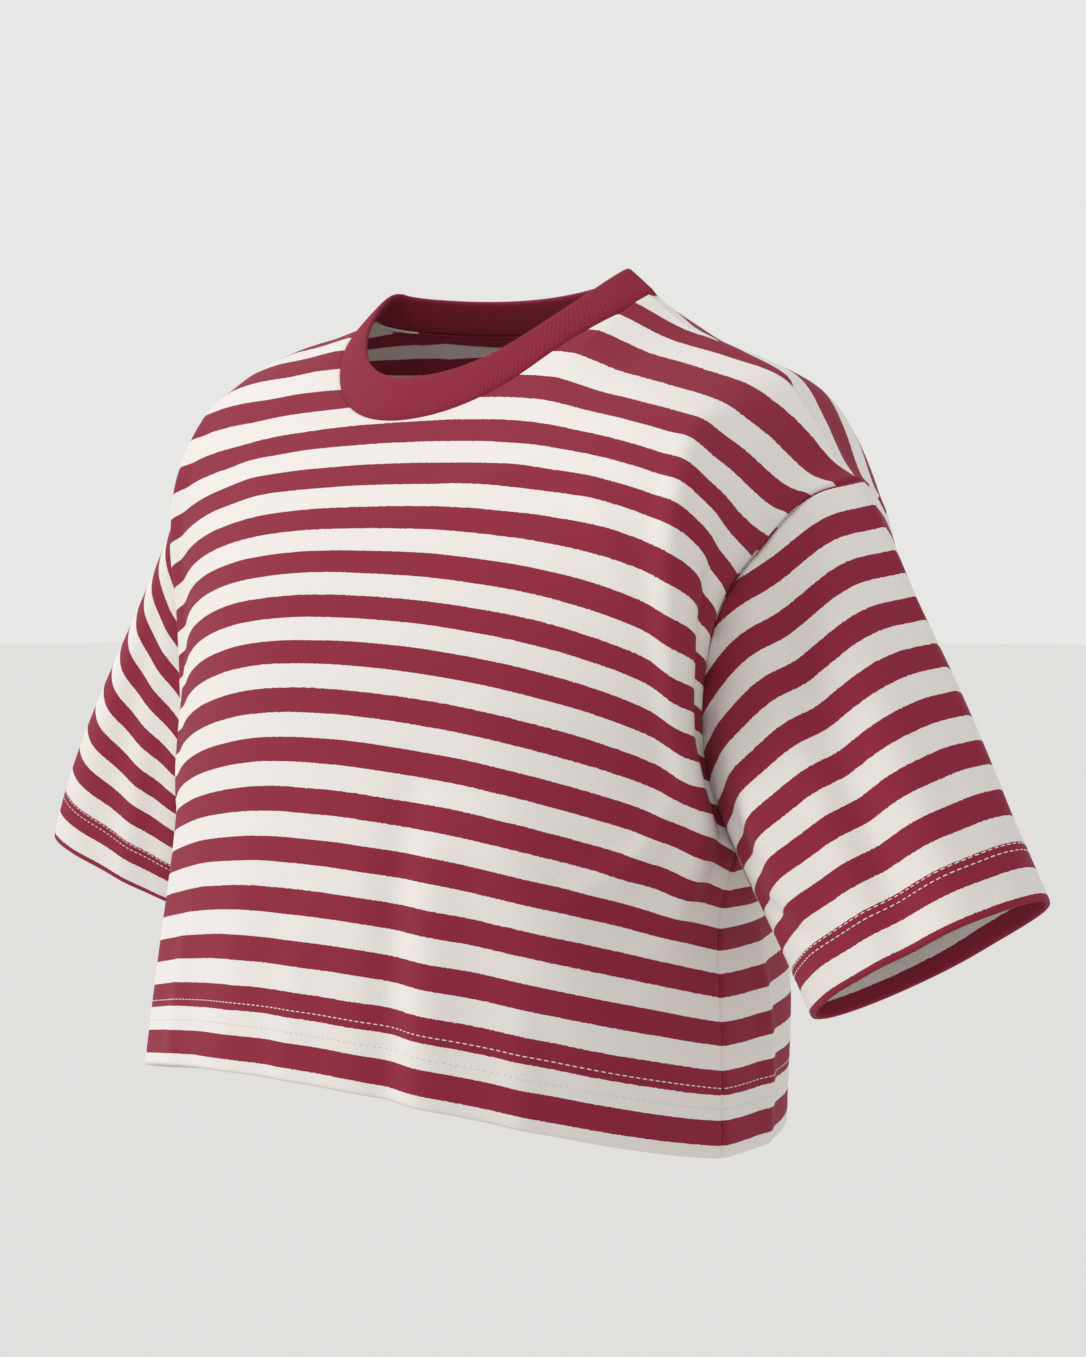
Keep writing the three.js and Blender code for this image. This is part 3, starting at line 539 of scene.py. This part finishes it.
def hem_turn(height):
    """Height above the edge and depth inside, for cloth that turns in where height is below 0."""
    angle = np.clip(height / HEM_ROLL, -1, 1) * np.pi / 2
    rolled = np.abs(height) < HEM_ROLL
    above = np.where(rolled, HEM_ROLL * (1 - np.cos(angle)), np.abs(height))
    return above, HEM_LAYER / 2 * (1 - np.sin(angle))


def seam_dip(distance):
    """How deep the cloth dips where it is sewn and swells beside that, by the distance from the seam."""
    swell = SEAM_SWELL * np.exp(-(((distance - SEAM_SWELL_AT) / SEAM_SWELL_WIDE) ** 2))
    return SEAM_DEPTH * np.exp(-((distance / SEAM_REACH) ** 2)) - swell


def spread(count, *close):
    """Shares from 0 to 1 in even steps, with close extra ones that far from the ends."""
    ends = list(close) + [1 - share for share in close]
    return np.unique(np.round(np.concatenate([np.linspace(0, 1, count), ends]), 6))


def cloth_mesh(name, places, cut, closed=False, flip=False):
    """A grid moved to places[column, row], with its place on the flat cut as the UV map."""
    columns, rows = places.shape[:2]
    grid = bmesh.new()
    bmesh.ops.create_grid(grid, x_segments=columns - 1, y_segments=rows - 1, size=0.5)
    grid.loops.layers.uv.new("cut")
    piece = finished(name, grid)
    mesh = piece.data
    corners = np.empty(len(mesh.vertices) * 3)
    mesh.vertices.foreach_get("co", corners)
    corners = corners.reshape(-1, 3)
    column = np.rint((corners[:, 0] + 0.5) * (columns - 1)).astype(int)
    row = np.rint((corners[:, 1] + 0.5) * (rows - 1)).astype(int)
    mesh.vertices.foreach_set("co", (places[column, row] * MM).ravel())
    corner_vertex = np.empty(len(mesh.loops), int)
    mesh.loops.foreach_get("vertex_index", corner_vertex)
    on_cut = cut[column, row] * MM
    mesh.uv_layers["cut"].data.foreach_set("uv", on_cut[corner_vertex].ravel())
    if closed or flip:
        grid = bmesh.new()
        grid.from_mesh(mesh)
        if closed:
            grid.verts.ensure_lookup_table()
            rim = [grid.verts[n] for n in np.flatnonzero((column == 0) | (column == columns - 1))]
            bmesh.ops.remove_doubles(grid, verts=rim, dist=0.00001)
        if flip:
            bmesh.ops.reverse_faces(grid, faces=grid.faces)
        grid.to_mesh(mesh)
        grid.free()
    mesh.shade_smooth()
    return piece


def finished(name, shape):
    mesh = bpy.data.meshes.new(name)
    shape.to_mesh(mesh)
    shape.free()
    piece = bpy.data.objects.new(name, mesh)
    bpy.context.scene.collection.objects.link(piece)
    return piece


def thicken(piece, thickness):
    wall = piece.modifiers.new("wall", "SOLIDIFY")
    wall.thickness = thickness * MM
    wall.offset = 0
    wall.use_rim = True
    return piece


def panel(name):
    """One panel: its turned-in hem first, then up to the neck and shoulders."""
    beside = NECK_HALF + (SHOULDER_HALF - NECK_HALF) * spread(56, 0.004, 0.009, 0.016, 0.026)
    across = NECK_HALF * np.sin(np.pi * (np.linspace(0, 1, 73)[1:-1] - 0.5))
    columns = np.concatenate([-beside[::-1], across, beside])
    turned = -BODY_HEM * np.linspace(1, 0, 15)[:-1]
    roll = HEM_ROLL * np.linspace(-1, 1, 5)
    shares = spread(140, 0.002, 0.004, 0.0065, 0.0095)
    shares = shares[shares > 0.006]
    x = np.repeat(columns[:, None], len(turned) + len(roll) + len(shares), 1)
    top = top_up(name, x[:, :1])
    hem = np.repeat(np.concatenate([turned, roll])[None], len(columns), 0)
    height = np.concatenate([hem, shares * top], 1)
    up, depth = hem_turn(height)
    outside = np.maximum(0, np.abs(x) - NECK_HALF) / (SHOULDER_HALF - NECK_HALF)
    x = np.sign(x) * outside * (edge_at(up) - SHOULDER_HALF) + x
    to_edge = edge_at(up) - np.abs(x)
    neck_slope = np.where(np.abs(x) < NECK_HALF, np.sqrt(np.clip(1 - (x / NECK_HALF) ** 2, 0.02, 1)), 1)
    to_top = (top - up) * neck_slope
    dip = np.maximum(seam_dip(to_edge), seam_dip(to_top))
    places = panel_points(name, x, up, out=-depth - dip)
    cut = np.stack([x, height], -1)
    return thicken(cloth_mesh(name, places, cut, flip=name == "back"), JERSEY)


def sleeve(name, side):
    around = spread(140, 0.0015, 0.003, 0.005)[:, None]
    length = sleeve_length(around)
    shares = spread(84, 0.004, 0.008, 0.013, 0.02)
    shares = shares[shares < 0.985]
    roll = HEM_ROLL * np.linspace(1, -1, 5)
    turned = -SLEEVE_HEM * np.linspace(0, 1, 12)[1:]
    hem = np.repeat(np.concatenate([roll, turned])[None], len(around), 0)
    height = np.concatenate([length * (1 - shares), hem], 1)
    up, depth = hem_turn(height)
    share = 1 - up / length
    around = np.repeat(around, height.shape[1], 1)
    to_side = np.minimum(around, 1 - around) * SLEEVE_WIDTH
    dip = np.maximum(seam_dip(length - up), 0.6 * seam_dip(to_side))
    places = sleeve_points(side, around, share, out=-depth - dip)
    places[-1] = places[0]
    cut = np.stack([around * SLEEVE_WIDTH, height], -1)
    return thicken(cloth_mesh(name, places, cut, closed=True, flip=side > 0), JERSEY)


def neck_points(turn):
    """The neck seam, by the share of the way round from the centre front to the wearer's left."""
    x = NECK_HALF * np.sin(2 * np.pi * turn)
    front = (np.cos(2 * np.pi * turn) >= 0)[..., None]
    return np.where(
        front,
        panel_points("front", x, neck_up("front", x)),
        panel_points("back", x, neck_up("back", x)),
    )


def collar():
    """The rib band, up its outer side, over the fold and down its inner side."""
    straight = np.linspace(-RIB_TUCK, RIB_WIDTH - RIB_LAYER, RIB_ROWS)
    fold = np.pi * np.linspace(0, 1, 5)[1:-1]
    width = np.concatenate([straight, RIB_WIDTH - RIB_LAYER + RIB_LAYER * np.sin(fold), straight[::-1]])
    side = np.concatenate([np.ones(RIB_ROWS), np.cos(fold), -np.ones(RIB_ROWS)]) * RIB_LAYER
    turn = np.linspace(0, 1, 4 * RIB_COUNT + 1)
    seam = neck_points(turn)
    angle = 2 * np.pi * turn
    along = unit(np.stack([NECK_HALF * np.cos(angle), NECK_DEEP * np.sin(angle), 0 * angle], -1))
    inward = np.cross([0, 0, 1], along)
    stand = np.radians(read_table(RIB_STAND, "turn", "rise", 0.5 - np.abs(0.5 - turn)))[:, None]
    rising = inward * np.cos(stand) + np.array([0, 0, 1]) * np.sin(stand)
    outward = unit(np.cross(along, rising))
    plump = np.sin(np.pi * np.clip(width / RIB_WIDTH, 0, 1)) * np.sign(side) * RIB_PLUMP
    ridge = RIB_RIDGE * np.cos(2 * np.pi * RIB_COUNT * turn)[:, None] * np.sign(side)
    sunk = RIB_SINK * np.exp(-((np.maximum(width, 0) / RIB_SINK_REACH) ** 2))
    off = side + plump + ridge - sunk * np.sign(side)
    eased = sum(neck_points(turn + step * RIB_EASE) for step in RIB_EASE_STEPS) / len(RIB_EASE_STEPS)
    share = np.clip(width / RIB_WIDTH, 0, 1)[None, :, None]
    base = seam[:, None] * (1 - share) + eased[:, None] * share
    places = base + rising[:, None] * width[None, :, None] + outward[:, None] * off[..., None]
    places[-1] = places[0]
    length = np.repeat(turn[:, None] * RIB_LONG, len(width), 1)
    cut = np.stack([length, np.repeat(np.linspace(0, 2 * RIB_WIDTH, len(width))[None], len(turn), 0)], -1)
    return thicken(cloth_mesh("collar", places, cut, closed=True), RIB)


def neck_tape():
    """The strip over the back neck seam, a little puckered by its sewing."""
    turn = np.linspace(-0.49, 0.49, 260)[:, None]
    x = NECK_HALF * np.sin(np.pi * turn)
    down = TAPE_START + TAPE_WIDTH * spread(9)[None]
    pucker = TAPE_PUCKER * np.sin(turn * TAPE_PUCKER_PITCH)
    pucker = pucker * np.sin(np.pi * (down - TAPE_START) / TAPE_WIDTH)
    places = panel_points("back", x + 0 * down, neck_up("back", x) - down, out=-TAPE_INSET + pucker)
    cut = np.stack([x + 0 * down, -down + 0 * x], -1)
    return thicken(cloth_mesh("neck_tape", places, cut), TAPE)


def stitch_row(line, outward):
    """Places for a row of stitches on a line: thread that swells at each stitch and dives between."""
    run = np.concatenate([[0], np.cumsum(np.linalg.norm(np.diff(line, axis=0), axis=-1))])
    count = round(run[-1] / STITCH["pitch"])
    at = np.linspace(0, 1, count * STITCH["steps"] + 1)
    middle, off = (
        np.stack([np.interp(at * run[-1], run, values[:, n]) for n in range(3)], -1)
        for values in (line, outward)
    )
    off = unit(off)
    lengthways = unit(np.gradient(middle, axis=0))
    aside = unit(np.cross(off, lengthways))
    swell = np.abs(np.sin(np.pi * at * count)) ** 0.5
    middle = middle + off * (STITCH["dive"] * (swell - 1))[:, None]
    angle = np.linspace(0, 2 * np.pi, STITCH["sides"] + 1)
    ring = aside[:, None] * np.cos(angle)[:, None] * STITCH["wide"] / 2
    ring = ring + off[:, None] * np.sin(angle)[:, None] * STITCH["thick"] / 2
    return middle[:, None] + ring * np.maximum(swell, 0.05)[:, None, None]


def joined_rows(name, rows):
    """Rows of stitches as one piece."""
    shape = bmesh.new()
    for places in rows:
        places[:, -1] = places[:, 0]
        row = cloth_mesh(name, places, places[..., :2])
        shape.from_mesh(row.data)
        bpy.data.meshes.remove(row.data)
    bmesh.ops.remove_doubles(shape, verts=shape.verts, dist=0.00002)
    bmesh.ops.recalc_face_normals(shape, faces=shape.faces)
    sewing = finished(name, shape)
    sewing.data.shade_smooth()
    return sewing


def row_on_panel(name, up, out):
    x = np.linspace(1 - CHEST_HALF, CHEST_HALF - 1, 320)
    up = np.full(x.shape, up)
    return stitch_row(panel_points(name, x, up, out=out), np.sign(out) * panel_normals(name, x, up))


def row_on_sleeve(side, up, out):
    around = np.linspace(0.004, 0.996, 240)
    share = 1 - up / sleeve_length(around)
    line = sleeve_points(side, around, share, out=out)
    return stitch_row(line, line - sleeve_points(side, around, share))


THREAD_LIFT = 0.1
OUTSIDE = JERSEY / 2 + THREAD_LIFT
INSIDE = -HEM_LAYER - JERSEY / 2 - THREAD_LIFT


def hem_sewing(name):
    rows = [row_on_panel(name, up, out) for up in BODY_HEM_ROWS for out in (OUTSIDE, INSIDE)]
    return joined_rows(name + "_hem_sewing", rows)


def cuff_sewing(name, side):
    rows = [row_on_sleeve(side, up, out) for up in SLEEVE_HEM_ROWS for out in (OUTSIDE, INSIDE)]
    return joined_rows(name + "_hem_sewing", rows)


def tape_sewing():
    x = NECK_HALF * np.sin(np.pi * np.linspace(-0.48, 0.48, 300))
    rows = []
    for down in (TAPE_START + TAPE_ROW_INSET, TAPE_START + TAPE_WIDTH - TAPE_ROW_INSET):
        up = neck_up("back", x) - down
        line = panel_points("back", x, up, out=-TAPE_INSET - TAPE / 2 - 0.15)
        rows.append(stitch_row(line, -panel_normals("back", x, up)))
    return joined_rows("neck_tape_sewing", rows)


# Materials
class Nodes:
    """A material's nodes, added and joined in one call each."""

    def __init__(self, name):
        self.material = bpy.data.materials.new(name)
        self.material.use_nodes = True
        self.tree = self.material.node_tree
        self.shader = next(node for node in self.tree.nodes if node.type == "BSDF_PRINCIPLED")

    def add(self, kind, inputs=(), **settings):
        node = self.tree.nodes.new(kind)
        for key, value in settings.items():
            setattr(node, key, value)
        for key, value in dict(inputs).items():
            if isinstance(value, bpy.types.NodeSocket):
                self.tree.links.new(value, node.inputs[key])
            else:
                node.inputs[key].default_value = value
        return node

    def math(self, operation, a, b=0.0):
        return self.add("ShaderNodeMath", {0: a, 1: b}, operation=operation).outputs[0]

    def noise(self, place, scale, detail=2.0, roughness=0.5):
        inputs = {"Vector": place, "Scale": scale, "Detail": detail, "Roughness": roughness}
        return self.add("ShaderNodeTexNoise", inputs).outputs["Fac"]

    def mix(self, factor, a, b):
        node = self.add("ShaderNodeMix", data_type="RGBA")
        for socket, value in ((node.inputs[0], factor), (node.inputs[6], a), (node.inputs[7], b)):
            if isinstance(value, bpy.types.NodeSocket):
                self.tree.links.new(value, socket)
            else:
                socket.default_value = value
        return node.outputs[2]

    def spread(self, value, low, high):
        return self.add("ShaderNodeMapRange", {"Value": value, "To Min": low, "To Max": high}).outputs[0]

    def finish(self, colour, bump_height, bump_distance, roughness, sheen):
        links = self.tree.links
        relief = {"Height": bump_height, "Distance": bump_distance, "Strength": 1.0}
        bump = self.add("ShaderNodeBump", relief)
        links.new(colour, self.shader.inputs["Base Color"])
        links.new(bump.outputs[0], self.shader.inputs["Normal"])
        self.shader.inputs["Roughness"].default_value = roughness
        self.shader.inputs["Sheen Weight"].default_value = sheen
        self.shader.inputs["Sheen Roughness"].default_value = 0.45
        self.shader.inputs["Specular IOR Level"].default_value = 0.25
        return self.material


BURGUNDY = (0.268, 0.0155, 0.047, 1)
BURGUNDY_DEEP = (0.212, 0.0115, 0.036, 1)
WHITE = (0.80, 0.762, 0.745, 1)
WHITE_DEEP = (0.735, 0.69, 0.672, 1)
KNIT_DEPTH = 0.00012
SHEEN = 0.05


def knit_bump(nodes, cut, wale, course):
    """Fine columns of loops and their courses, in the cut's own sizes."""
    split = nodes.add("ShaderNodeSeparateXYZ", {0: cut})
    across = nodes.math("SINE", nodes.math("MULTIPLY", split.outputs[0], 2 * math.pi / (wale * MM)))
    rising = nodes.math("SINE", nodes.math("MULTIPLY", split.outputs[1], 2 * math.pi / (course * MM)))
    loops = nodes.math("ADD", across, nodes.math("MULTIPLY", rising, 0.5))
    fuzz = nodes.noise(cut, 1400, detail=3)
    return nodes.math("ADD", nodes.math("MULTIPLY", loops, 0.25), nodes.math("MULTIPLY", fuzz, 1.2))


def jersey(name, stripe_start):
    nodes = Nodes(name)
    cut = nodes.add("ShaderNodeUVMap", uv_map="cut").outputs[0]
    split = nodes.add("ShaderNodeSeparateXYZ", {0: cut})
    jitter = nodes.spread(nodes.noise(cut, 700, detail=2), -0.5 * MM, 0.5 * MM)
    sway = nodes.spread(nodes.noise(cut, 22, detail=1), -0.5 * MM, 0.5 * MM)
    height = nodes.math("ADD", split.outputs[1], nodes.math("ADD", jitter, sway))
    above_start = nodes.math("SUBTRACT", height, stripe_start * MM)
    phase = nodes.math("MULTIPLY", above_start, 1 / (STRIPE_REPEAT * MM))
    burgundy_here = nodes.math("LESS_THAN", nodes.math("FRACT", nodes.math("ADD", phase, 8.0)), 0.5)
    fleck = nodes.noise(cut, 900, detail=3, roughness=0.7)
    cloud = nodes.noise(cut, 28, detail=3)
    tone = nodes.spread(nodes.math("ADD", fleck, cloud), -0.35, 1.35)
    dyed = nodes.mix(tone, BURGUNDY_DEEP, BURGUNDY)
    plain = nodes.mix(tone, WHITE_DEEP, WHITE)
    colour = nodes.mix(burgundy_here, plain, dyed)
    return nodes.finish(colour, knit_bump(nodes, cut, 0.95, 0.8), KNIT_DEPTH, 0.88, SHEEN)


def plain_knit(name, wale, course):
    nodes = Nodes(name)
    cut = nodes.add("ShaderNodeUVMap", uv_map="cut").outputs[0]
    fleck = nodes.noise(cut, 900, detail=3, roughness=0.7)
    cloud = nodes.noise(cut, 40, detail=3)
    tone = nodes.spread(nodes.math("ADD", fleck, cloud), -0.35, 1.35)
    colour = nodes.mix(tone, BURGUNDY_DEEP, BURGUNDY)
    return nodes.finish(colour, knit_bump(nodes, cut, wale, course), KNIT_DEPTH, 0.9, SHEEN)


def thread(name, deep, light):
    nodes = Nodes(name)
    place = nodes.add("ShaderNodeTexCoord").outputs["Object"]
    twist = nodes.noise(place, 1800, detail=1)
    colour = nodes.mix(nodes.spread(twist, 0, 1), deep, light)
    return nodes.finish(colour, twist, 0.0001, 0.6, 0.1)


def paint(piece, material):
    piece.data.materials.append(material)
    return piece


# Pieces
body_jersey = jersey("striped jersey, body", BODY_STRIPE_START)
sleeve_jersey = jersey("striped jersey, sleeves", SLEEVE_STRIPE_START)
rib_knit = plain_knit("burgundy rib", 2.18, 0.9)
tape_knit = plain_knit("burgundy tape", 1.1, 0.9)
off_white_thread = thread("off-white thread", (0.70, 0.64, 0.60, 1), (0.86, 0.81, 0.78, 1))
burgundy_thread = thread("burgundy thread", BURGUNDY_DEEP, BURGUNDY)

front = paint(panel("front"), body_jersey)
back = paint(panel("back"), body_jersey)
sleeve_left = paint(sleeve("sleeve_left", 1), sleeve_jersey)
sleeve_right = paint(sleeve("sleeve_right", -1), sleeve_jersey)
neck_rib = paint(collar(), rib_knit)
tape = paint(neck_tape(), tape_knit)
front_sewing = paint(hem_sewing("front"), off_white_thread)
back_sewing = paint(hem_sewing("back"), off_white_thread)
left_sewing = paint(cuff_sewing("sleeve_left", 1), off_white_thread)
right_sewing = paint(cuff_sewing("sleeve_right", -1), off_white_thread)
neck_sewing = paint(tape_sewing(), burgundy_thread)

for piece, node in (
    (front, "front"),
    (back, "back"),
    (sleeve_left, "sleeve_left"),
    (sleeve_right, "sleeve_right"),
    (neck_rib, "collar"),
    (tape, "neck_tape"),
):
    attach(piece, "root")
    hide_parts(node)
for piece, node in (
    (front_sewing, "front"),
    (back_sewing, "back"),
    (left_sewing, "sleeve_left"),
    (right_sewing, "sleeve_right"),
    (neck_sewing, "neck_tape"),
):
    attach(piece, "root")

# Floor, light and camera
FLOOR_DOWN = 0.9
PALE = (0.80, 0.797, 0.79)


def floor():
    shape = bmesh.new()
    bmesh.ops.create_grid(shape, x_segments=1, y_segments=1, size=40)
    bmesh.ops.translate(shape, verts=shape.verts, vec=(0, 0, -FLOOR_DOWN))
    nodes = Nodes("pale floor")
    nodes.shader.inputs["Base Color"].default_value = (0.735, 0.732, 0.725, 1)
    nodes.shader.inputs["Roughness"].default_value = 0.95
    nodes.shader.inputs["Specular IOR Level"].default_value = 0.0
    ground = paint(finished("floor", shape), nodes.material)


def studio():
    world = bpy.data.worlds.new("studio")
    world.use_nodes = True
    world.node_tree.nodes["Background"].inputs[0].default_value = (*PALE, 1)
    bpy.context.scene.world = world
    key = bpy.data.lights.new("key", "SUN")
    key.energy = 1.35
    key.angle = math.radians(16)
    key.color = (1.0, 0.985, 0.965)
    lamp = bpy.data.objects.new("key", key)
    lamp.rotation_euler = Vector((0.72, 0.7, -0.62)).to_track_quat("-Z", "Y").to_euler()
    bpy.context.scene.collection.objects.link(lamp)
    bpy.context.scene.view_settings.view_transform = "Standard"


# The photo's frame is 1086 by 1357; its camera looks level, from 45 degrees round to the wearer's left
FRAME_LONG = 1357
FOCAL_PIXELS = 2910
EYE_BACK = 1.5
EYE_UP = -0.1506
AIM_RIGHT = 35 / FOCAL_PIXELS
AIM_DOWN = 78.5 / FOCAL_PIXELS


def photo_camera():
    camera = bpy.data.cameras.new("photo")
    camera.sensor_width = 36
    camera.lens = 36 * FOCAL_PIXELS / FRAME_LONG
    eye = bpy.data.objects.new("photo", camera)
    ahead = Vector((-math.sqrt(0.5), math.sqrt(0.5), 0))
    right = ahead.cross(Vector((0, 0, 1)))
    aim = ahead + right * AIM_RIGHT - Vector((0, 0, AIM_DOWN))
    eye.location = -ahead * EYE_BACK + Vector((0, 0, EYE_UP))
    eye.rotation_euler = aim.to_track_quat("-Z", "Y").to_euler()
    bpy.context.scene.collection.objects.link(eye)
    bpy.context.scene.camera = eye


floor()
studio()
photo_camera()
